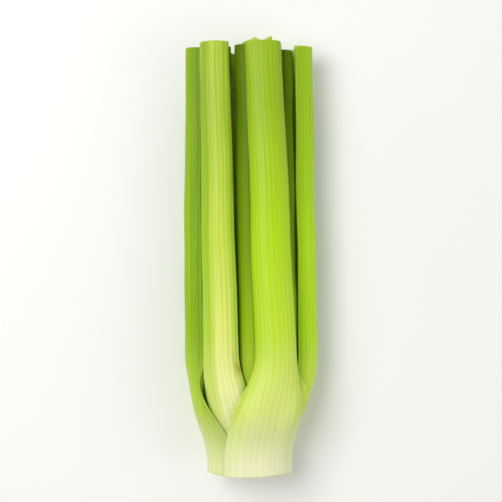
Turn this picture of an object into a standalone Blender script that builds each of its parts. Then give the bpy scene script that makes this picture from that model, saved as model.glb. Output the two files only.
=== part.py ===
"""Celery heart lying on its side: a crown, fourteen stalks in three rings and three heart leaves.

Every cross-section is packed from the centre outwards. Each stalk's inner face is pressed off the
envelope of everything already inside it, so neighbours keep GAP between them whatever the sizes are.
Angles run from straight up towards +X; heights run along the heart from the root cut to the tops.
"""
import math

import bpy
import numpy as np

for old in list(bpy.data.objects):
    bpy.data.objects.remove(old, do_unlink=True)

MM = 0.001

# Driving dimensions, in mm unless the name says otherwise
LENGTH = 260.0          # root cut to the longest cut top
GAP = 0.6               # clearance between neighbouring pieces
SEAT = 0.35             # clearance where a stalk stands on the crown, and a leaf on its stalk
SHOULDER = 12.0         # height on the crown where the middle stalks start
POST = 20.0             # height on the crown where the inner stalks start
PITH = 0.6              # radius left open on the axis
FLATTEN_X = 1.19        # the free stalks spread sideways by this factor
FLATTEN_Z = 0.87        # and are pressed down by this one
SETTLE = 72.0           # height by which the flattening is complete
BUTT_LIFT = 1.2         # the root end sits this far off the table
LEAN = 0.008            # sideways drift of the axis per unit of length
TAPER = 0.22            # loss of width from root to top
LEAF_WALL = 0.9         # thickness of a rolled heart leaf

OUTER_HALF, OUTER_WALL, OUTER_REACH = 9.9, 6.1, 22.4     # half width, wall, centre to axis
MIDDLE_HALF, MIDDLE_WALL, MIDDLE_REACH = 6.9, 4.8, 13.0
INNER_HALF, INNER_WALL, INNER_REACH = 4.5, 3.6, 5.6

# per ring: the three sizes above, height held as base, height fully free, half span free and
# clasping (deg), wall of the clasping layer, share of the wall left at the edges when free and
# when clasping, facets across
RINGS = {
    "outer": dict(half=OUTER_HALF, wall=OUTER_WALL, reach=OUTER_REACH, start=0.0, hold=6.0,
                  flare=74.0, span=100.0, wrap=66.0, layer=5.9, edge=0.50, thin=0.16, facets=8),
    "middle": dict(half=MIDDLE_HALF, wall=MIDDLE_WALL, reach=MIDDLE_REACH, start=SHOULDER, hold=4.0,
                   flare=58.0, span=104.0, wrap=60.0, layer=4.0, edge=0.50, thin=0.20, facets=6),
    "inner": dict(half=INNER_HALF, wall=INNER_WALL, reach=INNER_REACH, start=POST, hold=2.0,
                  flare=44.0, span=104.0, wrap=66.0, layer=2.8, edge=0.55, thin=0.35, facets=4),
}
# ring, number, angle (deg), width factor, wall factor, reach factor, how far under LENGTH it is cut,
# turn of the angle from mid height to the top (deg), bow away from the axis at mid height
STALKS = (
    ("inner", 1, 40.0, 0.98, 1.00, 1.00, 36.0, 6.0, 0.3),
    ("inner", 2, 160.0, 1.02, 1.00, 1.00, 28.0, 4.0, 0.0),
    ("inner", 3, 280.0, 1.00, 1.00, 1.00, 44.0, 7.0, 0.4),
    ("middle", 1, 230.0, 1.00, 1.00, 1.00, 3.0, -2.0, 0.4),
    ("middle", 2, 3.0, 1.10, 1.02, 1.17, 1.5, -5.0, 0.3),
    ("middle", 3, 148.0, 1.00, 1.00, 1.00, 2.5, 1.5, 0.5),
    ("middle", 4, 296.0, 0.99, 1.00, 1.02, 1.5, 1.5, 0.3),
    ("middle", 5, 73.0, 1.11, 1.00, 1.24, 3.5, 1.5, 0.3),
    ("outer", 1, 210.5, 0.98, 1.00, 0.99, 1.0, 1.0, 0.0),
    ("outer", 2, 92.0, 0.97, 1.00, 1.08, 0.5, 0.0, 0.0),
    ("outer", 3, 319.5, 0.96, 1.02, 1.01, 0.0, -5.0, 0.5),
    ("outer", 4, 152.5, 0.98, 1.00, 1.00, 1.5, -1.5, 0.0),
    ("outer", 5, 266.0, 0.92, 0.97, 1.10, 1.0, -1.0, 0.4),
    ("outer", 6, 26.0, 1.06, 1.03, 1.03, 0.5, -8.5, 0.4),
)
# number of the inner stalk it grows on, its tip over LENGTH, widest share of the stalk's span
LEAVES = ((1, 6.0, 0.92), (2, 9.0, 1.00), (3, 2.0, 0.96))
FINE = 40               # steps across a stalk while packing
BASE_STEPS = (0.0, 6.0, 12.0, 18.0, 25.0, 32.0, 40.0, 49.0, 60.0, 74.0)   # heights of the low rings
TOP_STEPS = 5           # further rings from there to the top

TURN = 2.0 * math.pi
GRID = np.arange(1440) * (TURN / 1440)


def ease(x, a, b):
    """0 below a, 1 above b, a smooth cubic between."""
    t = np.clip((x - a) / (b - a), 0.0, 1.0)
    return t * t * (3.0 - 2.0 * t)


def mix(a, b, t):
    return a + (b - a) * t


def read(env, angle):
    """The envelope's radius at any angle."""
    return np.interp(np.mod(angle, TURN), np.append(GRID, TURN), np.append(env, env[0]))


def soften(env, degrees):
    """Running maximum then running mean over the same window: smooth, and never below env."""
    n = max(1, int(round(degrees * len(env) / 360.0)))
    high = env.copy()
    for k in range(1, n + 1):
        high = np.maximum(high, np.maximum(np.roll(env, k), np.roll(env, -k)))
    return sum(np.roll(high, k) for k in range(-n, n + 1)) / (2 * n + 1)


def wall_at(thick, edge, v):
    """Wall across a stalk: thick in the middle (v = 0), edge times that at v = -1 and 1."""
    return thick * (1.0 - (1.0 - edge) * np.abs(v) ** 2.2)


def section(row, s, env, v):
    """Outer and inner face of one stalk at height s, as angle and radius round the axis.

    The face is a clasping layer at the base and a crescent round its own centre above; the centre
    moves out until the core of the crescent clears env, and both faces are then held off env.
    """
    ring, _, angle, wide, thick, far, cut, turn, bow = row
    law = RINGS[ring]
    start, half, wall, reach = law["start"], law["half"] * wide, law["wall"] * thick, law["reach"] * far
    s = min(max(s, start), LENGTH - cut)
    free = float(ease(s, start + law["hold"], start + law["flare"]))
    smooth = soften(env, mix(9.0, 6.0, free))
    taper = 1.0 + TAPER * (0.42 - s / LENGTH)
    up = s / LENGTH
    a0 = math.radians(angle + free * turn * (2.0 * up - 1.0))
    reach += free * bow * math.sin(math.pi * up)

    wrap = v * math.radians(law["wrap"])
    layer = wall_at(law["layer"], law["thin"], v)
    seat = read(smooth, a0 + wrap) + GAP

    rho, thick, span = half * taper, wall * mix(1.0, taper, 0.5), math.radians(law["span"])
    core = np.linspace(-0.7, 0.7, 41)
    depth = rho - wall_at(thick, law["edge"], core)
    for _ in range(3):
        x, z = depth * np.sin(core * span), reach + depth * np.cos(core * span)
        way = np.arctan2(x, z)
        short = np.max((read(smooth, a0 + way) + GAP - np.hypot(x, z)) / np.maximum(np.cos(way), 0.35))
        reach = reach + max(short, 0.0)

    ang, body = v * span, wall_at(thick, law["edge"], v)
    x_out = mix((seat + layer) * np.sin(wrap), rho * np.sin(ang), free)
    z_out = mix((seat + layer) * np.cos(wrap), reach + rho * np.cos(ang), free)
    x_in = mix(seat * np.sin(wrap), (rho - body) * np.sin(ang), free)
    z_in = mix(seat * np.cos(wrap), reach + (rho - body) * np.cos(ang), free)
    t_out, t_in = a0 + np.arctan2(x_out, z_out), a0 + np.arctan2(x_in, z_in)
    r_in = np.maximum(np.hypot(x_in, z_in), read(smooth, t_in) + GAP)
    web = np.minimum(mix(layer, body, free), 1.0)
    r_out = np.maximum(np.hypot(x_out, z_out), read(smooth, t_out) + GAP + web)
    return t_out, r_out, t_in, r_in


def grow(env, t, r):
    """The envelope after a stalk's outer face (t, r) is added, reaching a little past its edges."""
    pad = (GAP + 1.6) / r[[0, -1]]
    t = np.concatenate(([t[0] - pad[0]], t, [t[-1] + pad[1]]))
    r = np.concatenate(([r[0]], r, [r[-1]]))
    order = np.argsort(t)
    t, r = t[order], r[order]
    out = env.copy()
    for turn in (-TURN, 0.0, TURN):
        hit = (GRID + turn >= t[0]) & (GRID + turn <= t[-1])
        out[hit] = np.maximum(out[hit], np.interp(GRID[hit] + turn, t, r))
    return out


def pack(s, v):
    """All sections at height s, inner ring first, and the envelope left by each ring."""
    env, found, after = np.full(len(GRID), PITH), {}, {}
    for row in STALKS:
        found[row[:2]] = section(row, s, env, v)
        env = grow(env, *found[row[:2]][:2])
        after[row[0]] = env
    return found, after


V = np.linspace(-1.0, 1.0, FINE + 1)


def spread(s):
    """Sideways and downward factors of the flattening at height s."""
    f = float(ease(s, 0.0, SETTLE))
    return mix(1.0, FLATTEN_X, f), mix(1.0, FLATTEN_Z, f)


def axis_height(s):
    """Height of the axis over the table: the lowest outer stalk touches it all along."""
    found, _ = pack(s, V)
    _, fz = spread(s)
    low = min(float(np.min(r * np.cos(t))) for t, r, _, _ in found.values())
    return -low * fz + BUTT_LIFT * (1.0 - float(ease(s, 0.0, 30.0)))


AXIS_S = np.linspace(0.0, LENGTH, 51)
AXIS_Z = np.array([axis_height(s) for s in AXIS_S])
AXIS_Z = np.convolve(np.pad(AXIS_Z, 2, mode="edge"), np.ones(5) / 5.0, mode="valid")


def place(t, r, s):
    """Angle, radius and height to metres in the lying frame: +Y towards the tops, +Z up."""
    fx, fz = spread(s)
    x = fx * r * np.sin(t) - LEAN * (s - 0.5 * LENGTH)
    z = fz * r * np.cos(t) + np.interp(s, AXIS_S, AXIS_Z)
    return np.stack([x, np.full_like(x, s - 0.5 * LENGTH), z], axis=-1) * MM


def make(name, verts, faces, color, rough):
    """A named mesh object with its own material."""
    mesh = bpy.data.meshes.new(name)
    mesh.from_pydata([tuple(p) for p in verts], [], faces)
    mesh.validate()
    ob = bpy.data.objects.new(name, mesh)
    bpy.context.scene.collection.objects.link(ob)
    mat = bpy.data.materials.new(name)
    mat.use_nodes = True
    shader = mat.node_tree.nodes["Principled BSDF"]
    shader.inputs["Base Color"].default_value = (*color, 1.0)
    shader.inputs["Roughness"].default_value = rough
    mesh.materials.append(mat)
    mesh.polygons.foreach_set("use_smooth", [True] * len(mesh.polygons))
    return ob


def loft(name, rings, color, rough):
    """Closed crescent body. A ring runs along the outer face, round a tip, back along the inner
    face and round the other tip; both ends are closed by strips across the wall."""
    m = len(rings[0])
    n = (m - 2) // 2
    verts = np.concatenate(rings)
    faces = []
    for j in range(len(rings) - 1):
        for i in range(m):
            a, b = j * m + i, j * m + (i + 1) % m
            faces.append((a, b, b + m, a + m))
    for base, flip in ((0, False), ((len(rings) - 1) * m, True)):
        cap = [(base + i, base + i + 1, base + 2 * n - i - 1, base + 2 * n - i) for i in range(n - 1)]
        cap += [(base + n - 1, base + n, base + n + 1), (base + 2 * n, base + 2 * n + 1, base)]
        faces += cap if flip else [tuple(reversed(f)) for f in cap]
    return make(name, verts, faces, color, rough)


def ring_of(t_out, r_out, t_in, r_in, s, bulge=1.0):
    """One ring of a crescent, with a pushed-out point at the middle of each rounded tip."""
    out, inn = place(t_out, r_out, s), place(t_in, r_in, s)

    def tip(k, near):
        mid = 0.5 * (out[k] + inn[k])
        run = mid - 0.5 * (out[near] + inn[near])
        half = 0.5 * np.linalg.norm(out[k] - inn[k])
        return mid + run / max(np.linalg.norm(run), 1e-9) * min(half, 1.2 * MM) * 0.8 * bulge

    return np.concatenate([out, [tip(-1, -2)], inn[::-1], [tip(0, 1)]])


def build_stalks():
    """The fourteen stalks; packing is shared by all rings of one height."""
    looks = {"outer": (0.42, 0.60, 0.06), "middle": (0.36, 0.52, 0.05), "inner": (0.62, 0.70, 0.20)}
    tops = np.linspace(BASE_STEPS[-1], LENGTH, TOP_STEPS + 1)[1:-1]
    heights = [h for h in BASE_STEPS if h < 0.9 * LENGTH] + list(tops)
    packed = {s: pack(s, V)[0] for s in heights}
    for row in STALKS:
        start, end = RINGS[row[0]]["start"], LENGTH - row[6]
        pick = np.linspace(0, FINE, RINGS[row[0]]["facets"] + 1).round().astype(int)
        rings = []
        for s in [start] + [h for h in heights if start + 2.0 < h < end - 3.0] + [end]:
            faces = (packed[s] if s in packed else pack(s, V)[0])[row[:2]]
            rings.append(ring_of(*(face[pick] for face in faces), s))
        loft(f"{row[0]}_stalk_{row[1]}", rings, looks[row[0]], 0.42)


def build_leaves():
    """Rolled leaves that carry on each inner stalk's own curve; the span swells into lobes."""
    cuts = {row[:2]: row[6] for row in STALKS}
    for number, over, width in LEAVES:
        stalk, tip = ("inner", number), LENGTH + over
        end = LENGTH - cuts[stalk]
        t_out, r_out, _, _ = pack(end, V)[0][stalk]
        rings = []
        for q in np.linspace(0.0, 1.0, 15):
            swell = math.sin(math.pi * min(q * 0.94 + 0.05, 1.0)) ** 0.8
            lobes = 0.74 + 0.26 * abs(math.cos(3.0 * math.pi * q))
            w = max(0.14, width * swell * lobes)
            t = np.interp(np.linspace(-w, w, 9), V, t_out)
            r = np.interp(np.linspace(-w, w, 9), V, r_out)
            s = mix(end + SEAT, tip, q)
            rings.append(ring_of(t, r - 0.1, t, r - 0.1 - LEAF_WALL, s, 0.5))
        loft(f"heart_leaves_{number}", rings, (0.66, 0.72, 0.16), 0.55)


def build_crown():
    """Turned body that fills the envelope the middle stalks leave, with a post for the inner ones."""
    _, low = pack(SHOULDER, V)
    _, high = pack(POST, V)
    k = 32
    ang = np.arange(k) * (TURN / k)
    body = read(soften(low["middle"], 9.0), ang)
    post = read(soften(high["inner"], 9.0), ang)
    levels = ((0.0, 0.98), (2.0, 1.0), (SHOULDER - SEAT - 2.0, 1.0), (SHOULDER - SEAT, 0.96))
    rings = [place(ang, body * f, s) for s, f in levels]
    rings += [place(ang, np.minimum(post, body * 0.9), s) for s in (SHOULDER - SEAT, POST - SEAT)]
    verts = np.concatenate(rings + [place(np.zeros(1), np.zeros(1), 0.0),
                                    place(np.zeros(1), np.zeros(1), POST - SEAT)])
    faces = []
    for j in range(len(rings) - 1):
        for i in range(k):
            a, b = j * k + i, j * k + (i + 1) % k
            faces.append((a, b, b + k, a + k))
    last, c0 = (len(rings) - 1) * k, len(rings) * k
    for i in range(k):
        faces.append((c0, (i + 1) % k, i))
        faces.append((c0 + 1, last + i, last + (i + 1) % k))
    make("crown_base", verts, faces, (0.80, 0.74, 0.48), 0.6)


build_crown()
build_stalks()
build_leaves()

# all pieces hang on one empty, moved so that the heart stands on z = 0 with the middle of its box
# at x = y = 0
heart = bpy.data.objects.new("celery_heart", None)
bpy.context.scene.collection.objects.link(heart)
pieces = [ob for ob in bpy.data.objects if ob.type == "MESH"]
points = np.concatenate([[tuple(v.co) for v in ob.data.vertices] for ob in pieces])
low, high = points.min(axis=0), points.max(axis=0)
heart.location = (-0.5 * (low[0] + high[0]), -0.5 * (low[1] + high[1]), -low[2])
for ob in pieces:
    ob.parent = heart
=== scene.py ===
"""Celery heart lying on a pale table: ribbed stalks packed round a cut crown, leaves in the middle.

Heights run from the root cut (0) to the tops, in mm; angles run from straight up towards +X.
"""
import math

import bpy
import numpy as np
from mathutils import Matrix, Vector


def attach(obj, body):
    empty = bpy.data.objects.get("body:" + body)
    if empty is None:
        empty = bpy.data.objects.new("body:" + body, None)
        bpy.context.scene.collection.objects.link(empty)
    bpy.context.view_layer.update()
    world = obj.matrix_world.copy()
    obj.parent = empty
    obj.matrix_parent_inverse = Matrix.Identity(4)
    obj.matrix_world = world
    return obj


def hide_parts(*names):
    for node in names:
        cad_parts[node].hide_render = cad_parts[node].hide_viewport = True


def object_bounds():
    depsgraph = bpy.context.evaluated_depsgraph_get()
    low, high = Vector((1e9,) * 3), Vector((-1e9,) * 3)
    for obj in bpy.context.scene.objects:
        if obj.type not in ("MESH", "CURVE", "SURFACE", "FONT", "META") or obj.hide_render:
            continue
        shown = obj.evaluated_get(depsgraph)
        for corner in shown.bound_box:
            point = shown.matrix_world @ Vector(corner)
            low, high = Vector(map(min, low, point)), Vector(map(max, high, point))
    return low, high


bl_info = {
    "name": "Celery heart",
    "version": (1, 0, 0),
    "blender": (4, 5, 0),
    "location": "3D View > Sidebar > Celery",
    "description": "Builds a trimmed celery heart with its stalks, crown and heart leaves",
    "category": "Add Mesh",
}

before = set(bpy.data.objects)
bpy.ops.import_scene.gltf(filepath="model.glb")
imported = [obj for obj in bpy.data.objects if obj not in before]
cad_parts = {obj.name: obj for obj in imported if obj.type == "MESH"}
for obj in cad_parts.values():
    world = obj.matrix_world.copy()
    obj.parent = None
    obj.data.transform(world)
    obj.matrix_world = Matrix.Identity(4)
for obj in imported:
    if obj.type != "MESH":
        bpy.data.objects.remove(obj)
CAD_BOX = [list(corner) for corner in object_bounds()]

MM = 0.001
TURN = 2.0 * math.pi

# ---- sizes shared with the solid model, in mm ----
LENGTH = 260.0
GAP = 0.6
SEAT = 0.35
SHOULDER = 12.0
POST = 20.0
PITH = 0.6
FLATTEN_X = 1.19
FLATTEN_Z = 0.87
SETTLE = 72.0
BUTT_LIFT = 1.2
LEAN = 0.008
TAPER = 0.22

OUTER_HALF, OUTER_WALL, OUTER_REACH = 9.9, 6.1, 22.4
MIDDLE_HALF, MIDDLE_WALL, MIDDLE_REACH = 6.9, 4.8, 13.0
INNER_HALF, INNER_WALL, INNER_REACH = 4.5, 3.6, 5.6

# per ring: half width, wall, centre to axis, start, height held as base, height fully free, half
# span free and clasping (deg), wall of the clasping layer, wall share at the edges free, clasping
RINGS = {
    "outer": dict(half=OUTER_HALF, wall=OUTER_WALL, reach=OUTER_REACH, start=0.0, hold=6.0,
                  flare=74.0, span=100.0, wrap=66.0, layer=5.9, edge=0.50, thin=0.16),
    "middle": dict(half=MIDDLE_HALF, wall=MIDDLE_WALL, reach=MIDDLE_REACH, start=SHOULDER, hold=4.0,
                   flare=58.0, span=104.0, wrap=60.0, layer=4.0, edge=0.50, thin=0.20),
    "inner": dict(half=INNER_HALF, wall=INNER_WALL, reach=INNER_REACH, start=POST, hold=2.0,
                  flare=44.0, span=104.0, wrap=66.0, layer=2.8, edge=0.55, thin=0.35),
}
# ring, number, angle (deg), width, wall and reach factors, length cut off, turn (deg), bow
STALKS = (
    ("inner", 1, 40.0, 0.98, 1.00, 1.00, 36.0, 6.0, 0.3),
    ("inner", 2, 160.0, 1.02, 1.00, 1.00, 28.0, 4.0, 0.0),
    ("inner", 3, 280.0, 1.00, 1.00, 1.00, 44.0, 7.0, 0.4),
    ("middle", 1, 230.0, 1.00, 1.00, 1.00, 3.0, -2.0, 0.4),
    ("middle", 2, 3.0, 1.10, 1.02, 1.17, 1.5, -5.0, 0.3),
    ("middle", 3, 148.0, 1.00, 1.00, 1.00, 2.5, 1.5, 0.5),
    ("middle", 4, 296.0, 0.99, 1.00, 1.02, 1.5, 1.5, 0.3),
    ("middle", 5, 73.0, 1.11, 1.00, 1.24, 3.5, 1.5, 0.3),
    ("outer", 1, 210.5, 0.98, 1.00, 0.99, 1.0, 1.0, 0.0),
    ("outer", 2, 92.0, 0.97, 1.00, 1.08, 0.5, 0.0, 0.0),
    ("outer", 3, 319.5, 0.96, 1.02, 1.01, 0.0, -5.0, 0.5),
    ("outer", 4, 152.5, 0.98, 1.00, 1.00, 1.5, -1.5, 0.0),
    ("outer", 5, 266.0, 0.92, 0.97, 1.10, 1.0, -1.0, 0.4),
    ("outer", 6, 26.0, 1.06, 1.03, 1.03, 0.5, -8.5, 0.4),
)
# inner stalk it grows on, mm that its tip stands over LENGTH
LEAVES = ((1, 6.0), (2, 9.0), (3, 2.0))

# ---- looks ----
# strings (ribs) across a stalk, their height in mm, points across a face, mm between rows
FINISH = {
    "outer": dict(strings=14, rise=0.22, points=141, step=1.25),
    "middle": dict(strings=10, rise=0.18, points=101, step=1.5),
    "inner": dict(strings=7, rise=0.12, points=71, step=1.5),
}
# skin of each stalk; two of the skins are darker copies that paint shade on stalks lying in shadow
SKIN_OF = {
    ("outer", 1): "fresh", ("outer", 2): "deep", ("outer", 3): "pale", ("outer", 4): "fresh",
    ("outer", 5): "shaded", ("outer", 6): "vivid", ("middle", 1): "deep", ("middle", 2): "recess",
    ("middle", 3): "deep", ("middle", 4): "shaded", ("middle", 5): "recess",
    ("inner", 1): "heart", ("inner", 2): "heart", ("inner", 3): "heart",
}
# share of the length at which each colour of a skin stands; the last colour, at the tops, is darker
# and duller, partly for the greener tops and partly as painted shade
STOPS = (0.02, 0.15, 0.33, 0.54, 0.86)
# skin: colours up the middle of the back, colours up the two edges, how plain its streaks are,
# shine
SKINS = {
    "pale": (("#f3f0d0", "#eff0b2", "#e3ea7a", "#c6da4c", "#adc63c"),
             ("#edefbe", "#d6e37a", "#acd032", "#9fc41a", "#90b022"), 0.36, 0.26),
    "vivid": (("#f1f0c8", "#dfe886", "#c0df38", "#b1da14", "#98ba20"),
              ("#e8edba", "#c8de58", "#b2d92a", "#a8d410", "#8eae1e"), 0.20, 0.26),
    "deep": (("#ebeebc", "#d4e46c", "#b8e01a", "#b4df14", "#a4ca20"),
             ("#e5ebac", "#c4de44", "#aad810", "#a5d40c", "#94ba1a"), 0.22, 0.26),
    # painted shade: a darker, duller copy of the skin for the left flank and a middle stalk, which
    # lie in their neighbours' shade
    "shaded": (("#e8ebb4", "#bfd658", "#9ac020", "#94be16", "#8eb020"),
               ("#dfe6a4", "#a6c438", "#84ac12", "#7ea80a", "#769a10"), 0.22, 0.16),
    # painted shade: a dark copy of the skin for the stalks that sit deep between others, which are
    # really paler
    "recess": (("#e4e8ac", "#bcd04c", "#94b812", "#769a04", "#5a7a04"),
               ("#dbe29c", "#a4bd3c", "#7a9e10", "#5b8008", "#456408"), 0.05, 0.08),
    "fresh": (("#edefc0", "#d3e36e", "#b0d724", "#a9d418", "#9bc01e"),
              ("#e7ecb2", "#bcd746", "#9dca14", "#99c80e", "#8cb01a"), 0.24, 0.26),
    "heart": (("#f7f5da", "#f3f3bc", "#e5ec80", "#d6e25c", "#c6d64c"),
              ("#f3f2ca", "#e8eda0", "#d0de5c", "#c2d444", "#b2c836"), 0.24, 0.26),
}
# where the pale band of the back stands, off the middle, and how much narrower than usual it is
BAND = {("outer", 3): (0.42, 1.9), ("outer", 6): (-0.15, 1.0)}
# which of a skin's colours is its main one, half way up
MAIN_STOP = 3
CROWN_FLESH, LEAF_BLADE, TABLE_TOP = "#f0e9c6", "#c6d64e", "#f8f8f6"
# stalks whose strings stand less proud
SMOOTH = {("outer", 6): 0.75, ("outer", 2): 0.85}
# skins with a tan bruise low on one edge
BRUISED = ("pale", "vivid")

# ---- finish of the pieces, in mm unless said ----
EDGE_SHARE, EDGE_POINTS = 0.10, 9               # share of a half width that rounds off, its points
BEVEL_ALONG, BEVEL_IN = 0.25, 0.22              # bevel of a cut end, along the stalk and inwards
THIN_WALL = 0.3                                 # half a wall under which that bevel eases off
DRIFT = 0.35                                    # how far a stalk strays sideways
WANDER = (0.22, 0.05)                           # strings strayed sideways, in string spacings
SLOW = (0.16, 0.10)                             # slow swells along and across the back
STRING_POWER = 1.3                              # above 1 the strings are narrower than the valleys
SLANT = 0.05                                    # tilt of a cut, at most
CUT_DISH = 0.45                                 # how far the middle of a cut shrinks back
SKIN_SHIFT = 37.0                               # sets the pattern of each stalk apart
CROWN_POINTS, FACE_RINGS, CROWN_DISH = 180, 20, 0.55
STEM_SHARE, END_SHARE, SIDE_SHARE = 0.42, 0.58, 0.50    # of a sprig: stem, end leaflet, side ones
SUNK = 1.5                                      # how deep a sprig is rooted in its stalk
LOBES, TEETH, VEINS = 2.5, 15.0, 9.0            # lobes, teeth and side veins along a leaflet
DROOP = 0.16                                    # how far its tip hangs, of its length
BLADE, MIDRIB = 0.16, 0.35                      # half thickness of a blade, more at its midrib

# ---- stage: metres and watts ----
TABLE_HALF = 3.0
SENSOR, LENS = 36.0, 85.0                       # mm
VIEW_FILL = 0.885                               # share of the view's height, the heart's length
# share of the way up the sky, colour
SKY = ((0.0, "#f0f0ee"), (0.30, "#e4e4e2"), (0.85, "#adadab"))
SKY_STRENGTH = 0.74
# name, place, width, height, power: a big key above and left, a fill right, one behind
LAMPS = (
    ("key", (-0.42, 0.22, 0.92), 0.6, 0.6, 6.6),
    ("fill", (0.75, -0.25, 0.60), 0.7, 0.7, 1.8),
    ("rear", (0.05, 1.0, 0.45), 0.8, 0.4, 1.6),
)


# ---- shape of the heart -----------------------------------------------------------------------

def ease(x, a, b):
    """0 below a, 1 above b, 3t^2 - 2t^3 between."""
    t = np.clip((x - a) / (b - a), 0.0, 1.0)
    return t * t * (3.0 - 2.0 * t)


def mix(a, b, t):
    """a at t = 0, b at t = 1, a straight line between."""
    return a + (b - a) * t


GRID = np.arange(1440) * (TURN / 1440)


def read(env, angle):
    """The envelope's radius at any angle."""
    return np.interp(np.mod(angle, TURN), np.append(GRID, TURN), np.append(env, env[0]))


def soften(env, degrees):
    """Running maximum then running mean over one window: smooth, and never below env."""
    n = max(1, int(round(degrees * len(env) / 360.0)))
    high = env.copy()
    for k in range(1, n + 1):
        high = np.maximum(high, np.maximum(np.roll(env, k), np.roll(env, -k)))
    total = np.concatenate(([0.0], np.cumsum(np.concatenate((high[-n:], high, high[:n])))))
    return (total[2 * n + 1:] - total[:-2 * n - 1]) / (2 * n + 1)


def wall_at(thick, edge, v):
    """Wall across a stalk: thick at v = 0, edge times that at v = -1 and 1, by |v|^2.2."""
    return thick * (1.0 - (1.0 - edge) * np.abs(v) ** 2.2)


def section(row, s, env, v):
    """Outer and inner face of a stalk at height s, as angles and radii round the axis.

    Base: a layer wrapped on the envelope env. Above: a crescent round its own centre, moved out
    until its core clears env. The two are mixed by height, then both faces are held off env.
    """
    ring, _, angle, wide, thick, far, cut, turn, bow = row
    law = RINGS[ring]
    start, half = law["start"], law["half"] * wide
    wall, reach = law["wall"] * thick, law["reach"] * far
    s = min(max(s, start), LENGTH - cut)
    free = float(ease(s, start + law["hold"], start + law["flare"]))
    smooth = soften(env, mix(9.0, 6.0, free))
    taper = 1.0 + TAPER * (0.42 - s / LENGTH)
    up = s / LENGTH
    a0 = math.radians(angle + free * turn * (2.0 * up - 1.0))
    reach += free * bow * math.sin(math.pi * up)

    wrap = v * math.radians(law["wrap"])
    layer = wall_at(law["layer"], law["thin"], v)
    seat = read(smooth, a0 + wrap) + GAP

    rho, thick, span = half * taper, wall * mix(1.0, taper, 0.5), math.radians(law["span"])
    core = np.linspace(-0.7, 0.7, 41)
    depth = rho - wall_at(thick, law["edge"], core)
    for _ in range(3):
        x, z = depth * np.sin(core * span), reach + depth * np.cos(core * span)
        way = np.arctan2(x, z)
        short = read(smooth, a0 + way) + GAP - np.hypot(x, z)
        reach = reach + max(np.max(short / np.maximum(np.cos(way), 0.35)), 0.0)

    ang, body = v * span, wall_at(thick, law["edge"], v)
    x_out = mix((seat + layer) * np.sin(wrap), rho * np.sin(ang), free)
    z_out = mix((seat + layer) * np.cos(wrap), reach + rho * np.cos(ang), free)
    x_in = mix(seat * np.sin(wrap), (rho - body) * np.sin(ang), free)
    z_in = mix(seat * np.cos(wrap), reach + (rho - body) * np.cos(ang), free)
    t_out, t_in = a0 + np.arctan2(x_out, z_out), a0 + np.arctan2(x_in, z_in)
    r_in = np.maximum(np.hypot(x_in, z_in), read(smooth, t_in) + GAP)
    web = np.minimum(mix(layer, body, free), 1.0)
    r_out = np.maximum(np.hypot(x_out, z_out), read(smooth, t_out) + GAP + web)
    return t_out, r_out, t_in, r_in


def grow(env, t, r):
    """The envelope after a stalk's outer face (t, r) is added, reaching a little past its edges."""
    pad = (GAP + 1.6) / r[[0, -1]]
    t = np.concatenate(([t[0] - pad[0]], t, [t[-1] + pad[1]]))
    r = np.concatenate(([r[0]], r, [r[-1]]))
    order = np.argsort(t)
    t, r = t[order], r[order]
    out = env.copy()
    for turn in (-TURN, 0.0, TURN):
        hit = (GRID + turn >= t[0]) & (GRID + turn <= t[-1])
        out[hit] = np.maximum(out[hit], np.interp(GRID[hit] + turn, t, r))
    return out


def pack(s, v):
    """All sections at height s, inner ring first, and the envelope left by each ring."""
    env, found, after = np.full(len(GRID), PITH), {}, {}
    for row in STALKS:
        found[row[:2]] = section(row, s, env, v)
        env = grow(env, *found[row[:2]][:2])
        after[row[0]] = env
    return found, after


def spread(s):
    """Sideways and downward factors of the flattening at height s."""
    f = ease(np.asarray(s, dtype=float), 0.0, SETTLE)
    return mix(1.0, FLATTEN_X, f), mix(1.0, FLATTEN_Z, f)


V = np.linspace(-1.0, 1.0, 121)
PITCH = 2.5                                     # mm between packed sections
LEVELS = np.arange(0.0, LENGTH + PITCH, PITCH)
PACKED = [pack(s, V) for s in LEVELS]


def lows():
    """Height of the axis at each level, so that the lowest stalk lies on the table all along.

    It is the flattened depth of the lowest point, plus a lift that fades out over the first 30 mm,
    then a running mean over nine levels.
    """
    found = []
    for s, (faces, _) in zip(LEVELS, PACKED):
        low = min(float(np.min(r * np.cos(t))) for t, r, _, _ in faces.values())
        found.append(-low * float(spread(s)[1]) + BUTT_LIFT * (1.0 - float(ease(s, 0.0, 30.0))))
    return np.convolve(np.pad(found, 4, mode="edge"), np.ones(9) / 9.0, mode="valid")


AXIS = lows()


def between(table, h):
    """Rows of an evenly spaced table read at heights h, by a Catmull-Rom curve through them."""
    x = np.clip(np.asarray(h) / PITCH, 0.0, len(table) - 1.001)
    i = np.floor(x).astype(int)
    t = (x - i).reshape((-1,) + (1,) * (table.ndim - 1))
    p0, p1, p2, p3 = (table[np.clip(i + k, 0, len(table) - 1)] for k in (-1, 0, 1, 2))
    cubic = 3 * (p1 - p2) + p3 - p0
    return p1 + 0.5 * t * (p2 - p0 + t * (2 * p0 - 5 * p1 + 4 * p2 - p3 + t * cubic))


def lay(x, z, h):
    """Section coordinates at heights h to metres in the lying frame.

    The section is flattened, moved sideways by LEAN for each mm of height off the middle, and
    raised to the axis.
    """
    fx, fz = (f.reshape(-1, 1) for f in spread(h))
    y = np.broadcast_to((h - 0.5 * LENGTH)[:, None], x.shape)
    return np.stack([fx * x - (LEAN * (h - 0.5 * LENGTH))[:, None], y,
                     fz * z + np.interp(h, LEVELS, AXIS)[:, None]], axis=-1) * MM


def faces_of(key):
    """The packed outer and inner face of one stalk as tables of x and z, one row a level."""
    rows = [found[key] for found, _ in PACKED]
    t_out, r_out, t_in, r_in = (np.array([row[k] for row in rows]) for k in range(4))
    return (np.stack([r_out * np.sin(t_out), r_out * np.cos(t_out)], axis=-1),
            np.stack([r_in * np.sin(t_in), r_in * np.cos(t_in)], axis=-1))


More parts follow.
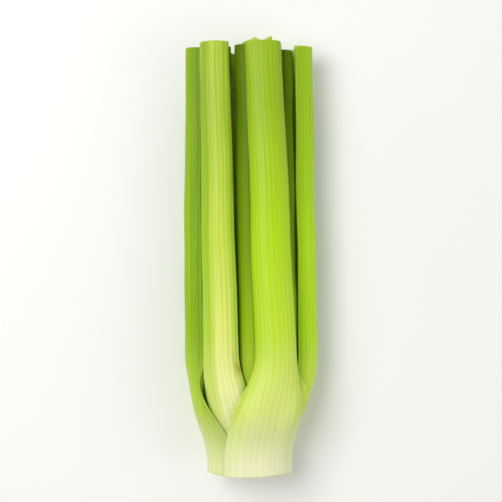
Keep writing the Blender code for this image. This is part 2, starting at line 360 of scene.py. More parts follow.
def box_shift():
    """The shift that centres the box in plan and stands it on z = 0, as the solids' box is."""
    low, high = np.full(3, 1e9), np.full(3, -1e9)
    for key in (row[:2] for row in STALKS if row[0] == "outer"):
        out, _ = faces_of(key)
        pts = lay(out[..., 0], out[..., 1], LEVELS).reshape(-1, 3)
        low, high = np.minimum(low, pts.min(axis=0)), np.maximum(high, pts.max(axis=0))
    cad_low, cad_high = np.array(CAD_BOX[0]), np.array(CAD_BOX[1])
    root = -0.5 * LENGTH * MM
    return np.array([0.5 * (cad_low[0] + cad_high[0]) - 0.5 * (low[0] + high[0]), cad_low[1] - root,
                     cad_low[2] - low[2]])


SHIFT = box_shift()


# ---- meshes -----------------------------------------------------------------------------------

def normals(grid):
    """Unit normals of a grid of points, from the cross product of its two directions."""
    n = np.cross(np.gradient(grid, axis=0), np.gradient(grid, axis=1))
    return n / np.maximum(np.linalg.norm(n, axis=-1, keepdims=True), 1e-12)


def quads(a, b, c, d):
    """Four-cornered faces from four arrays of point numbers."""
    return np.stack([a.ravel(), b.ravel(), c.ravel(), d.ravel()], axis=-1)


def link(name, verts, polys, fields, material):
    """Mesh object from points, lists of equal-sided polygons and named point fields."""
    mesh = bpy.data.meshes.new(name)
    faces = [f for block in polys for f in block.tolist()]
    mesh.from_pydata(verts.tolist(), [], faces)
    for key, values in fields.items():
        kind = "FLOAT_VECTOR" if values.ndim == 2 else "FLOAT"
        layer = mesh.attributes.new(key, kind, "POINT")
        layer.data.foreach_set("vector" if values.ndim == 2 else "value",
                               np.ascontiguousarray(values, dtype=np.float32).ravel())
    mesh.polygons.foreach_set("use_smooth", [True] * len(mesh.polygons))
    mesh.materials.append(material)
    mesh.update()
    piece = bpy.data.objects.new(name, mesh)
    bpy.context.scene.collection.objects.link(piece)
    return piece


def wave(rng, x, count, shortest, longest):
    """A sum of sines with random phases and wavelengths, in -1 to 1 roughly."""
    total = np.zeros_like(x, dtype=float)
    for _ in range(count):
        total += np.sin(TURN * (x / rng.uniform(shortest, longest) + rng.random()))
    return total / count


CUT_ROWS = 7                                    # rows of points across a cut face


def closed_crescent(name, out, inn, fields, material, dish):
    """Closed body between an outer and an inner grid that meet at their first and last columns.

    Both ends are closed by a cut face: rows of points mixed between the two faces, sunk in the
    middle by dish along the stalk.
    """
    n, m = out.shape[:2]
    ring = np.concatenate([out, inn[:, -2:0:-1]], axis=1)
    width = ring.shape[1]
    side = {k: np.concatenate([f[0], f[1][:, -2:0:-1]], axis=1) for k, f in fields.items()}
    verts, polys = [ring.reshape(-1, 3)], []
    values = {k: [a.reshape(-1, *a.shape[2:])] for k, a in side.items()}
    j, i = np.meshgrid(np.arange(n - 1), np.arange(width), indexing="ij")
    a, b = j * width + i, j * width + (i + 1) % width
    polys.append(quads(a, b, b + width, a + width))
    base = n * width
    for end, sense in ((0, -1.0), (n - 1, 1.0)):
        w = np.linspace(0.0, 1.0, CUT_ROWS)[:, None, None]
        o, q = out[end][None], inn[end][None]
        face = mix(o, q, w)[1:-1, 1:-1]
        sink = (4.0 * w * (1.0 - w))[1:-1] ** 0.7
        face = face - sense * np.array([0.0, 1.0, 0.0]) * dish * sink
        verts.append(face.reshape(-1, 3))
        index = np.empty((CUT_ROWS, m), dtype=int)
        index[0] = end * width + np.arange(m)
        index[-1] = end * width + np.concatenate([[0], np.arange(width - 1, m - 1, -1), [m - 1]])
        index[1:-1, 1:-1] = base + np.arange((CUT_ROWS - 2) * (m - 2)).reshape(CUT_ROWS - 2, m - 2)
        index[1:-1, 0], index[1:-1, -1] = end * width, end * width + m - 1
        base += (CUT_ROWS - 2) * (m - 2)
        for k, f in fields.items():
            g = mix(f[0][end][None], f[1][end][None], w if f[0].ndim == 3 else w[..., 0])
            g = np.broadcast_to(g, (CUT_ROWS, m) + f[0].shape[2:])[1:-1, 1:-1]
            if k == "cut":
                g = np.ones_like(g)
            values[k].append(g.reshape(-1, *f[0].shape[2:]))
        mid = quads(index[:-1, 1:-2], index[:-1, 2:-1], index[1:, 2:-1], index[1:, 1:-2])
        tri = []
        for col, nxt in ((0, 1), (m - 1, m - 2)):
            corner = np.full(CUT_ROWS - 1, index[0, col])
            t = np.stack([corner, index[:-1, nxt], index[1:, nxt]], axis=-1)
            tri.append(t if col == 0 else t[:, ::-1])
        tri = np.concatenate(tri)
        if sense < 0:
            mid, tri = mid[:, ::-1], tri[:, ::-1]
        polys += [mid, tri]
    return link(name, np.concatenate(verts), polys,
                {k: np.concatenate(a) for k, a in values.items()}, material)


def across_points(count, tip):
    """Positions across a stalk, -1 to 1: even over the back, closing up round the two tips."""
    round_off = 1.0 - tip + tip * np.sin(np.linspace(0.0, 0.5 * math.pi, EDGE_POINTS))
    back = np.linspace(-(1.0 - tip), 1.0 - tip, count - 2 * (EDGE_POINTS - 1))
    return np.concatenate([-round_off[:0:-1], back, round_off[1:]])


def resample(table, v):
    """Columns of a packed face read at positions v, by straight lines between them."""
    x = 0.5 * (v + 1.0) * (len(V) - 1)
    i = np.minimum(x.astype(int), len(V) - 2)
    return mix(table[:, i], table[:, i + 1], (x - i)[None, :, None])


def make_stalk(row, material, rise):
    """One stalk: packed faces, rounded tips, strings on the back, slow waves and two cut ends.

    A face's edge is rounded by the square root of 1 - q^2 over its last tenth. String height is a
    raised cosine across the back to the power 1.3, over a phase that wanders.
    """
    ring, number = row[:2]
    law, finish = RINGS[ring], FINISH[ring]
    rng = np.random.default_rng(100 * len(ring) + number)
    start, end = law["start"], LENGTH - row[6]
    v = across_points(finish["points"], EDGE_SHARE)
    rows = int((end - start) / finish["step"])
    h = np.linspace(start, end, rows)
    h = np.concatenate([[start, start + BEVEL_ALONG], h[1:-1], [end - BEVEL_ALONG, end]])
    out, inn = (between(resample(table, v), h) for table in faces_of((ring, number)))
    q = np.clip((np.abs(v) - (1.0 - EDGE_SHARE)) / EDGE_SHARE, 0.0, 1.0)
    half = 0.5 * (out - inn) * np.sqrt(1.0 - q * q)[None, :, None]
    size = np.linalg.norm(half, axis=-1, keepdims=True)
    inset = np.zeros(len(h))
    inset[[0, -1]] = BEVEL_IN
    half = half * np.clip(1.0 - inset[:, None, None] / np.maximum(size, THIN_WALL), 0.2, 1.0)
    mid = 0.5 * (out + inn)
    out, inn = mid + half, mid - half
    drift = np.stack([wave(rng, h, 3, 60.0, 150.0), wave(rng, h, 3, 60.0, 150.0)], axis=-1)
    drift *= DRIFT * ease(h, start + 20.0, start + 70.0)[:, None]
    out, inn = out + drift[:, None], inn + drift[:, None]
    outer = lay(out[..., 0], out[..., 1], h) + SHIFT
    inner = lay(inn[..., 0], inn[..., 1], h) + SHIFT

    hh, vv = np.meshgrid(h, v, indexing="ij")
    wander = WANDER[0] * wave(rng, vv + 0.002 * hh, 3, 0.25, 0.8)
    wander = wander + WANDER[1] * wave(rng, hh, 2, 50.0, 120.0)
    phase = finish["strings"] * 0.5 * (vv + 1.0) + wander
    string = (0.5 - 0.5 * np.cos(TURN * phase)) ** STRING_POWER
    strength = 0.75 + 0.35 * wave(rng, np.floor(phase) * 7.3 + 0.004 * hh, 2, 2.0, 5.0)
    shown = ease(hh, start + 6.0, start + 60.0) * 0.75 + 0.25
    inboard = 1.0 - q[None] ** 2
    lift = rise * SMOOTH.get((ring, number), 1.0) * shown * strength * string * inboard
    slow = SLOW[0] * wave(rng, hh + 14.0 * vv, 4, 24.0, 70.0)
    slow = slow + SLOW[1] * wave(rng, vv + 0.01 * hh, 3, 0.5, 1.2)
    ends = np.ones(len(h))
    ends[[0, -1]] = 0.0
    push = (lift + slow * inboard) * MM * ends[:, None]
    n_out = normals(outer)
    centre = 0.5 * (outer + inner)
    n_out *= np.sign(np.sum(n_out * (outer - centre), axis=-1, keepdims=True) + 1e-12)
    outer = outer + n_out * push[..., None]

    # each cut slants a little: points are pulled in by their distance along the slope; the root
    # cut slants a fifth as much, on the stalks that reach it
    slope = rng.uniform(-SLANT, SLANT, 2)
    slants = [(ease(hh, end - 30.0, end), slope, centre[-1].mean(axis=0))]
    if start == 0.0:
        slants.append((1.0 - ease(hh, 0.0, 14.0), 0.2 * slope, centre[0].mean(axis=0)))
    for pull, tilt, c in slants:
        for face in (outer, inner):
            off = (face[..., 0] - c[0]) * tilt[0] + (face[..., 2] - c[2]) * tilt[1]
            face[..., 1] -= pull * np.abs(off)

    steps = np.linalg.norm(np.diff(outer, axis=1), axis=-1)
    arc = np.concatenate([np.zeros((len(h), 1)), np.cumsum(steps, axis=1)], axis=1)
    arc = (arc - arc[:, len(v) // 2][:, None]) / MM + SKIN_SHIFT * number
    depth = np.linalg.norm(outer - inner, axis=-1) / MM
    zeros, ones = np.zeros_like(hh), np.ones_like(hh)
    cut = zeros.copy()
    cut[-1] = 1.0
    if start == 0.0:
        cut[0] = 1.0
    off_middle, narrow = BAND.get((ring, number), (0.0, 1.0))
    band = (vv - off_middle) * narrow
    fields = {
        "skin": (np.stack([arc, hh, zeros], axis=-1), np.stack([arc, hh, depth], axis=-1)),
        "across": (band, vv),
        "edge": (vv, vv),
        "up": (hh / LENGTH, hh / LENGTH),
        "inside": (zeros, ones),
        "string": (string * (1.0 - q[None]), zeros),
        "phase": (phase, phase),
        "cut": (cut, cut.copy()),
    }
    name = f"{ring}_stalk_{number}_skin"
    piece = closed_crescent(name, outer, inner, fields, material, CUT_DISH * MM)
    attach(piece, "root")
    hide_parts(f"{ring}_stalk_{number}")
    return piece


def make_crown(material):
    """Crown: the envelope left by the middle stalks, turned into a body with a cut face below.

    Radius at an angle is the envelope's, a little less over the last 4 mm under the shoulder; above
    that it is the post that the inner stalks stand on. The cut face is a fan of rings, sunk towards
    the middle by a raised cosine.
    """
    k = CROWN_POINTS
    ang = np.arange(k) * (TURN / k)
    body = read(soften(PACKED[int(SHOULDER / PITCH + 0.5)][1]["middle"], 9.0), ang)
    post = read(soften(PACKED[int(POST / PITCH)][1]["inner"], 9.0), ang)
    rng = np.random.default_rng(5)
    radii, heights = [], []
    for f in np.linspace(0.0, 1.0, FACE_RINGS + 2)[1:-1]:
        radii.append(body * f * 0.985)
        heights.append(np.full(k, CROWN_DISH * math.cos(0.5 * math.pi * f) ** 2))
    for f, s in ((0.985, 0.0), (1.0, 0.35), (1.0, 3.0), (1.0, SHOULDER - 4.0),
                 (0.985, SHOULDER - 2.0), (0.94, SHOULDER - SEAT)):
        radii.append(body * f)
        heights.append(np.full(k, s))
    for f, s in ((0.9, SHOULDER - SEAT), (0.6, SHOULDER), (0.5, POST - SEAT), (0.25, POST - SEAT)):
        radii.append(np.minimum(body * f, post))
        heights.append(np.full(k, s))
    r, s = np.array(radii), np.array(heights)
    lump = 0.12 * wave(rng, r * 3.0 + 9.0 * ang[None], 4, 4.0, 11.0)
    flat = (np.arange(len(r)) < FACE_RINGS)[:, None]
    s = s + np.where(flat, np.maximum(lump, -0.15) * (r / body[None]), 0.0)
    pts = np.array([lay((rr * np.sin(ang))[None], (rr * np.cos(ang))[None], np.array([0.0]))[0]
                    for rr in r])
    pts[..., 1] = (s - 0.5 * LENGTH) * MM
    pts = pts + SHIFT
    n = len(r)
    j, i = np.meshgrid(np.arange(n - 1), np.arange(k), indexing="ij")
    a, b = j * k + i, j * k + (i + 1) % k
    low_c = pts[0].mean(axis=0)
    top_c = pts[-1].mean(axis=0)
    verts = np.concatenate([pts.reshape(-1, 3), [low_c], [top_c]])
    idx = np.arange(k)
    fan_low = np.stack([np.full(k, n * k), (idx + 1) % k, idx], axis=-1)
    last = (n - 1) * k
    fan_top = np.stack([np.full(k, n * k + 1), last + idx, last + (idx + 1) % k], axis=-1)
    share = np.concatenate([(r / body[None]).ravel(), [0.0, 0.0]])
    is_cut = np.broadcast_to((np.arange(n) <= FACE_RINGS)[:, None], r.shape)
    cut = np.concatenate([is_cut.ravel(), [1.0, 0.0]])
    turn = np.concatenate([np.broadcast_to(ang[None], r.shape).ravel(), [0.0, 0.0]])
    piece = link("crown_base_flesh", verts, [quads(a, b, b + k, a + k), fan_low, fan_top],
                 {"share": share.astype(float), "cut": cut.astype(float), "turn": turn}, material)
    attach(piece, "root")
    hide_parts("crown_base")
    return piece


def leaflet(rng, root, along, side, length, width, curl, ruffle, swell=0.72, points=49, rows=72):
    """One leaflet as two grids, back and face, that meet at its margin.

    Half width at w along the midrib is width * sin(pi w^swell)^0.5, cut by three lobes (a cosine)
    and teeth (a triangle wave). The blade folds up from its midrib by curl, to the power 1.5
    across; it ruffles by a sine of four waves, squared across, and droops by the square of w.
    """
    w = np.linspace(0.0, 1.0, rows)
    u = np.sin(np.linspace(-0.5 * math.pi, 0.5 * math.pi, points))
    ww, uu = np.meshgrid(w, u, indexing="ij")
    base = np.maximum(np.sin(math.pi * w ** swell), 0.0) ** 0.5
    lobes = 0.72 + 0.28 * np.abs(np.cos(LOBES * math.pi * w + 0.4))
    teeth = 0.90 + 0.10 * np.abs(((w * TEETH) % 1.0) * 2.0 - 1.0)
    half = width * base * lobes * teeth
    half = np.maximum(half, 0.45 * (1.0 - 0.7 * w))
    along, side = along / np.linalg.norm(along), side / np.linalg.norm(side)
    side = side - along * np.dot(side, along)
    side /= np.linalg.norm(side)
    face = np.cross(along, side)
    bend = length * DROOP * ww ** 2
    lift = curl * np.abs(uu) ** 1.5 * half[:, None]
    frill = ruffle * np.sin(TURN * (ww * 4.0 + 0.5 * np.sign(uu) + rng.random())) * np.abs(uu) ** 2
    vein = 0.25 * np.exp(-(uu * half[:, None] / 0.5) ** 2)
    p = (root + along * (ww * length)[..., None] + side * (uu * half[:, None] * 0.92)[..., None]
         + face * (lift + frill - bend + vein)[..., None])
    n = normals(p)
    n *= np.sign(np.sum(n * face, axis=-1, keepdims=True) + 1e-9)
    thick = BLADE + MIDRIB * np.exp(-(uu * half[:, None] / 0.7) ** 2) * (1.0 - 0.6 * ww)
    thick = thick * np.sqrt(np.clip(1.0 - uu ** 4, 0.0, 1.0))
    veins = np.abs(((ww * VEINS - 2.2 * np.abs(uu)) % 1.0) - 0.5) * 2.0
    return p + n * thick[..., None], p - n * thick[..., None], uu, ww, veins


def make_leaves(row, over, material):
    """A sprig on an inner stalk: a stem that carries on from its cut, and three toothed leaflets.

    The stem takes 0.42 of the sprig's length, the end leaflet 0.58 and the two side ones 0.50 each.
    """
    number = row[1]
    rng = np.random.default_rng(40 + number)
    end, tip = LENGTH - row[6], LENGTH + over
    out_xz, inn_xz = faces_of(("inner", number))
    mid = 0.5 * (between(out_xz, [end])[0] + between(inn_xz, [end])[0])
    sixth = len(V) // 6
    c = mid[sixth:-sixth].mean(axis=0)
    a0 = math.atan2(c[0], c[1])
    outward = np.array([math.sin(a0), 0.0, math.cos(a0)])
    sideways = np.array([math.cos(a0), 0.0, -math.sin(a0)])
    root = np.array([c[0], end - 0.5 * LENGTH - SUNK, c[1]])
    up = np.array([0.0, 1.0, 0.0])
    total = tip - end + SUNK
    grids = []
    tilt = rng.uniform(-0.05, 0.05)
    stem_top = root + up * total * STEM_SHARE + outward * 0.8 + sideways * tilt * total * 0.4
    grids.append(stem_grid(root, stem_top, 1.5, 0.9, outward))
    grids.append(leaflet(rng, stem_top - up * 1.0, up + 0.10 * outward + tilt * sideways, sideways,
                         total * END_SHARE, 7.2, 0.55, 0.9, swell=1.3))
    low = root + up * total * 0.20 + outward * 0.3
    for s in (-1.0, 1.0):
        grids.append(leaflet(rng, low + up * (2.0 if s > 0 else 0.0),
                             up + 0.16 * s * sideways - 0.02 * outward,
                             sideways + 0.25 * s * outward, total * SIDE_SHARE, 4.6, 0.7, 0.7))
    verts, polys, fields, base = [], [], {"sideways": [], "along": [], "vein": []}, 0
    for top, bottom, uu, ww, veins in grids:
        n, m = top.shape[:2]
        ring = np.concatenate([top, bottom[:, -2:0:-1]], axis=1)
        width = ring.shape[1]
        verts.append(ring.reshape(-1, 3))
        j, i = np.meshgrid(np.arange(n - 1), np.arange(width), indexing="ij")
        a, b = base + j * width + i, base + j * width + (i + 1) % width
        body = quads(a, a + width, b + width, b)
        caps = []
        for e, sense in ((0, 1), (n - 1, -1)):
            o = base + e * width
            k = np.arange(1, m - 2)
            q = np.stack([o + k, o + k + 1, o + width - k - 1, o + width - k], axis=-1)
            t = np.array([[o, o + 1, o + width - 1], [o + m - 2, o + m - 1, o + m]])
            caps += [q, t] if sense > 0 else [q[:, ::-1], t[:, ::-1]]
        polys += [body] + caps
        for key, value in (("sideways", uu), ("along", ww), ("vein", veins)):
            fields[key].append(np.concatenate([value, value[:, -2:0:-1]], axis=1).ravel())
        base += n * width
    pts = np.concatenate(verts)
    h = pts[:, 1] + 0.5 * LENGTH
    fx, fz = spread(h)
    pts = np.stack([fx * pts[:, 0] - LEAN * pts[:, 1], pts[:, 1],
                    fz * pts[:, 2] + np.interp(h, LEVELS, AXIS)], axis=-1) * MM + SHIFT
    piece = link(f"heart_leaves_{number}_blades", pts, polys,
                 {k: np.concatenate(f) for k, f in fields.items()}, material)
    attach(piece, "root")
    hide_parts(f"heart_leaves_{number}")
    return piece


def stem_grid(a, b, r0, r1, facing, points=17, rows=20):
    """A round stem from a to b as two half-round grids that meet at its sides.

    Its radius runs evenly from r0 to r1, and the side towards facing is flattened to 0.6 of it.
    """
    w = np.linspace(0.0, 1.0, rows)
    ang = np.linspace(-0.5 * math.pi, 0.5 * math.pi, points)
    ww, aa = np.meshgrid(w, ang, indexing="ij")
    way = (b - a) / np.linalg.norm(b - a)
    side = np.cross(way, facing)
    side /= np.linalg.norm(side)
    up = np.cross(side, way)
    r = mix(r0, r1, ww)[..., None]
    line = a + (b - a) * ww[..., None]
    flat = side * (np.sin(aa)[..., None] * r)
    rise = up * (np.cos(aa)[..., None] * r)
    return line + flat - rise, line + flat + rise * 0.6, np.sin(aa), ww, np.ones_like(ww)


# ---- materials --------------------------------------------------------------------------------

def linear(code, change=(1.0, 1.0, 1.0)):
    """An sRGB hex colour as linear RGBA.

    A channel c is c / 12.92 up to 0.04045 and ((c + 0.055) / 1.055)^2.4 above; change multiplies
    the three channels afterwards, held to 1.
    """
    c = np.array([int(code[k:k + 2], 16) for k in (1, 3, 5)]) / 255.0
    c = np.where(c <= 0.04045, c / 12.92, ((c + 0.055) / 1.055) ** 2.4)
    return (*np.minimum(c * np.array(change), 1.0).tolist(), 1.0)


def node(tree, kind, inputs=None, out=0, stops=(), **settings):
    """Adds one node and returns its output out.

    settings are the node's own properties; inputs gives a socket, by name or number, a value or the
    output of another node; stops are the positions and linear colours of a ramp.
    """
    made = tree.nodes.new("ShaderNode" + kind)
    for key, value in settings.items():
        setattr(made, key, value)
    for key, value in (inputs or {}).items():
        if isinstance(value, bpy.types.NodeSocket):
            tree.links.new(value, made.inputs[key])
        else:
            made.inputs[key].default_value = value
    for k, (at, colour) in enumerate(stops):
        parts = made.color_ramp.elements
        part = parts[k] if k < len(parts) else parts.new(at)
        part.position, part.color = at, colour
    return made.outputs[out] if len(made.outputs) else made


def blank_material(name):
    """A new material with an empty node tree."""
    made = bpy.data.materials.new(name)
    made.use_nodes = True
    made.node_tree.nodes.clear()
    return made, made.node_tree


# settings that several nodes share: a mix of colours, a product of colours, a smooth step
MIX = {"data_type": "RGBA"}
PRODUCT = {"data_type": "RGBA", "blend_type": "MULTIPLY"}
STEP = {"interpolation_type": "SMOOTHSTEP"}

# patterns of the skin: size in mm across the stalk, along it and into the wall, detail, roughness
SKIN_PATTERNS = {
    "sway": ((20.0, 83.0, 1.0e6), 2.0, 0.5),           # how far the green of an edge comes in
    "streak": ((0.91, 62.5, 3.3), 3.0, 0.6),           # green streaks, about a string apart
    "pale_streak": ((1.43, 100.0, 0.2), 3.0, 0.55),
    "bruise": ((6.25, 16.7, 2.0), 4.0, 0.65),
    "scuff": ((3.3, 8.3, 1.0e6), 3.0, 0.5),
    "grain": ((0.63, 0.63, 0.63), 3.0, 0.6),           # cells of the cut pith, 3 times too big
    "dried": ((2.9, 2.9, 2.9), 3.0, 0.6),
    "fibre": ((0.45, 20.0, 0.45), 3.0, 0.6),
    "cell": ((0.71, 0.71, 0.71), 2.0, 0.6),            # skin cells, 5 times too big, so they show
}


def skin_material(key, chosen):
    """Waxy celery skin, one material for each shade of stalk; two of them are darker copies with
    painted shade.

    Colour is a ramp up the length, mixed to the edge's ramp by a smooth step of the distance from
    the middle of the back; streaks, strings, bruises and the cut ends are laid over it in turn.
    """
    # a thin cuticle over wet green cells: a soft gloss, a little light carried under the skin, and
    # a colour that runs from cream at the root to green at the tops
    made, tree = blank_material(f"waxy_celery_skin_{key}")
    middle, edges, contrast, shine = SKINS[key]
    change = np.array(chosen[:]) / np.array(linear(middle[MAIN_STOP])[:3])
    up, across, string, inside, cut, phase, edge = (
        node(tree, "Attribute", out="Fac", attribute_name=name)
        for name in ("up", "across", "string", "inside", "cut", "phase", "edge"))
    skin = node(tree, "Attribute", out="Vector", attribute_name="skin")
    pattern = {}
    for name, (size, detail, rough) in SKIN_PATTERNS.items():
        place = node(tree, "Mapping", {"Vector": skin, "Scale": [1.0 / mm for mm in size]})
        pattern[name] = node(tree, "TexNoise", {"Vector": place, "Scale": 1.0, "Detail": detail,
                                                "Roughness": rough})

    back, rim = (node(tree, "ValToRGB", {0: up},
                      stops=[(at, linear(code, change)) for at, code in zip(STOPS, codes)])
                 for codes in (middle, edges))
    side = node(tree, "Math", {0: across}, operation="ABSOLUTE")
    sway = node(tree, "Math", {0: pattern["sway"], 1: 0.4, 2: -0.2}, operation="MULTIPLY_ADD")
    side = node(tree, "Math", {0: side, 1: sway}, operation="ADD")
    # the edge's green, then green and pale streaks, each laid on by a smooth step
    colour = back
    for value, low, high, most, over in (
            (side, 0.30, 0.86, 0.92, rim), (pattern["streak"], 0.46, 0.70, contrast, rim),
            (pattern["pale_streak"], 0.50, 0.72, contrast, linear("#dde950", change))):
        share = node(tree, "MapRange", {0: value, 1: low, 2: high, 4: most}, **STEP)
        colour = node(tree, "Mix", {0: share, 6: colour, 7: over}, 2, **MIX)
    # the valleys between strings are greener
    valley = node(tree, "Math", {0: string, 1: -0.6 * contrast, 2: 0.6 * contrast},
                  operation="MULTIPLY_ADD")
    greener = node(tree, "Mix", {0: 1.0, 6: colour, 7: linear("#c4d67a")}, 2, **PRODUCT)
    colour = node(tree, "Mix", {0: valley, 6: colour, 7: greener}, 2, **MIX)
    # pale flesh shows through on the hollow side, and there are faint bruises and field specks
    hollow = node(tree, "ValToRGB", {0: up}, stops=[
        (0.0, linear("#f2f0cc")), (0.25, linear("#d2e268")), (1.0, linear("#a6c834"))])
    for value, low, high, most, over in (
            (inside, 0.5, 1.0, 0.72, hollow),
            (pattern["bruise"], 0.64, 0.78, 0.30, linear("#a3a63a"))):
        share = node(tree, "MapRange", {0: value, 1: low, 2: high, 4: most}, **STEP)
        colour = node(tree, "Mix", {0: share, 6: colour, 7: over}, 2, **MIX)
    if key in BRUISED:
        # a tan scuff low on one edge, where neighbours rubbed: a smooth window in height, a step
        # across and a patchy noise, multiplied
        share = 0.62
        for value, low, high in ((up, 0.222, 0.252), (up, 0.300, 0.262), (edge, 0.52, 0.86),
                                 (pattern["scuff"], 0.30, 0.62)):
            window = node(tree, "MapRange", {0: value, 1: low, 2: high}, **STEP)
            share = node(tree, "Math", {0: share, 1: window}, operation="MULTIPLY")
        colour = node(tree, "Mix", {0: share, 6: colour, 7: linear("#a08a28")}, 2, **MIX)

    # cut end: moist pale pith, green under the skin, tan at the root, a string's end as a dot
    # below each rib: a smooth step of the distance from the rib's middle, 0.17 of the wall deep
    rooty = node(tree, "MapRange", {0: up, 1: 0.2, 2: 0.4}, **STEP)
    top_flesh = node(tree, "ValToRGB", {0: inside}, stops=[
        (0.0, linear(edges[MAIN_STOP], change)), (0.06, linear("#b9d46a")),
        (0.22, linear("#dfe8a8")), (0.8, linear("#e9efc0")), (1.0, linear("#cfe08a"))])
    root_flesh = node(tree, "ValToRGB", {0: inside}, stops=[
        (0.0, linear("#c9b777")), (0.08, linear("#e6dfae")), (0.5, linear("#f1eccb")),
        (1.0, linear("#dccf98"))])
    flesh = node(tree, "Mix", {0: rooty, 6: root_flesh, 7: top_flesh}, 2, **MIX)
    near = node(tree, "Math", {0: phase}, operation="FRACT")
    near = node(tree, "Math", {0: near, 1: 3.0, 2: -1.5}, operation="MULTIPLY_ADD")
    under = node(tree, "Math", {0: inside, 1: 6.4, 2: -0.17 * 6.4}, operation="MULTIPLY_ADD")
    near, under = (node(tree, "Math", {0: part, 1: 2.0}, operation="POWER")
                   for part in (near, under))
    far = node(tree, "Math", {0: near, 1: under}, operation="ADD")
    far = node(tree, "Math", {0: far}, operation="SQRT")
    string_end = node(tree, "Mix", {0: rooty, 6: linear("#b5ae6c"), 7: linear("#8fae3c")}, 2, **MIX)
    for value, low, high, most, over in (
            (pattern["grain"], 0.45, 0.75, 0.35, linear("#c9d68e")),
            (far, 0.62, 0.34, 0.7, string_end),
            (pattern["dried"], 0.55, 0.75, 0.35, linear("#c8b068"))):
        share = node(tree, "MapRange", {0: value, 1: low, 2: high, 4: most}, **STEP)
        flesh = node(tree, "Mix", {0: share, 6: flesh, 7: over}, 2, **MIX)
    colour = node(tree, "Mix", {0: cut, 6: colour, 7: flesh}, 2, **MIX)

    # fibres and cells in the surface: 0.6 of one and 0.4 of the other
    relief = node(tree, "Math", {0: pattern["cell"], 1: 0.4}, operation="MULTIPLY")
    relief = node(tree, "Math", {0: pattern["fibre"], 1: 0.6, 2: relief}, operation="MULTIPLY_ADD")
    bump = node(tree, "Bump", {"Strength": 0.22, "Distance": 0.4 * MM, "Height": relief})
    gloss = node(tree, "MapRange", {0: pattern["cell"], 1: 0.3, 2: 0.7, 3: 0.30, 4: 0.42}, **STEP)
    gloss = node(tree, "Mix", {0: cut, 2: gloss, 3: 0.5}, 0, data_type="FLOAT")
    shader = node(tree, "BsdfPrincipled", {
        "Base Color": colour, "Roughness": gloss, "IOR": 1.42, "Specular IOR Level": shine,
        "Normal": bump, "Subsurface Weight": 0.15, "Subsurface Radius": (1.0, 1.0, 0.2),
        "Subsurface Scale": 2.2 * MM})
    node(tree, "OutputMaterial", {"Surface": shader})
    return made


def crown_material(chosen):
    """Cut celery crown, with the rings of the stalk bases on its face.

    The rings are the sine of 22 times the share of the radius plus the sine of 5 times the angle.
    """
    # cream pith that tans in the air: matt, moist, blotched, with darker ends of strings as dots
    made, tree = blank_material("cut_celery_crown")
    change = np.array(chosen[:]) / np.array(linear(CROWN_FLESH)[:3])
    share, cut, turn = (node(tree, "Attribute", out="Fac", attribute_name=name)
                        for name in ("share", "cut", "turn"))
    place = node(tree, "TexCoord", out="Object")
    bend = node(tree, "Math", {0: turn, 1: 5.0}, operation="MULTIPLY")
    bend = node(tree, "Math", {0: bend}, operation="SINE")
    rings = node(tree, "Math", {0: share, 1: 22.0, 2: bend}, operation="MULTIPLY_ADD")
    rings = node(tree, "Math", {0: rings}, operation="SINE")
    flesh = node(tree, "ValToRGB", {0: share}, stops=[
        (0.0, linear("#e3d7a0", change)), (0.35, linear(CROWN_FLESH, change)),
        (0.8, linear("#efe8c2", change)), (1.0, linear("#d6c68c", change))])
    # tan patches 6 mm across
    tan = node(tree, "TexNoise", {"Vector": place, "Scale": 1.0 / (5.9 * MM), "Detail": 4.0,
                                  "Roughness": 0.62})
    # string ends 2 mm apart
    dots = node(tree, "TexVoronoi", {"Vector": place, "Scale": 1.0 / (1.9 * MM)}, "Distance",
                feature="F1")
    for value, low, high, most, code in ((rings, 0.1, 1.0, 0.40, "#dcd09a"),
                                         (tan, 0.48, 0.72, 0.65, "#bd9a58"),
                                         (dots, 0.26, 0.14, 0.45, "#a98b4c")):
        amount = node(tree, "MapRange", {0: value, 1: low, 2: high, 4: most}, **STEP)
        flesh = node(tree, "Mix", {0: amount, 6: flesh, 7: linear(code)}, 2, **MIX)
    colour = node(tree, "Mix", {0: cut, 6: linear("#e9e2b2", change), 7: flesh}, 2, **MIX)
    grain = node(tree, "TexNoise", {"Vector": place, "Scale": 1.0 / (1.1 * MM), "Detail": 3.0,
                                    "Roughness": 0.6})
    bump = node(tree, "Bump", {"Strength": 0.4, "Distance": 0.5 * MM, "Height": grain})
    shader = node(tree, "BsdfPrincipled", {
        "Base Color": colour, "Roughness": 0.58, "IOR": 1.45, "Normal": bump,
        "Subsurface Weight": 0.15, "Subsurface Radius": (1.0, 0.8, 0.4),
        "Subsurface Scale": 3.0 * MM})
    node(tree, "OutputMaterial", {"Surface": shader})
    return made


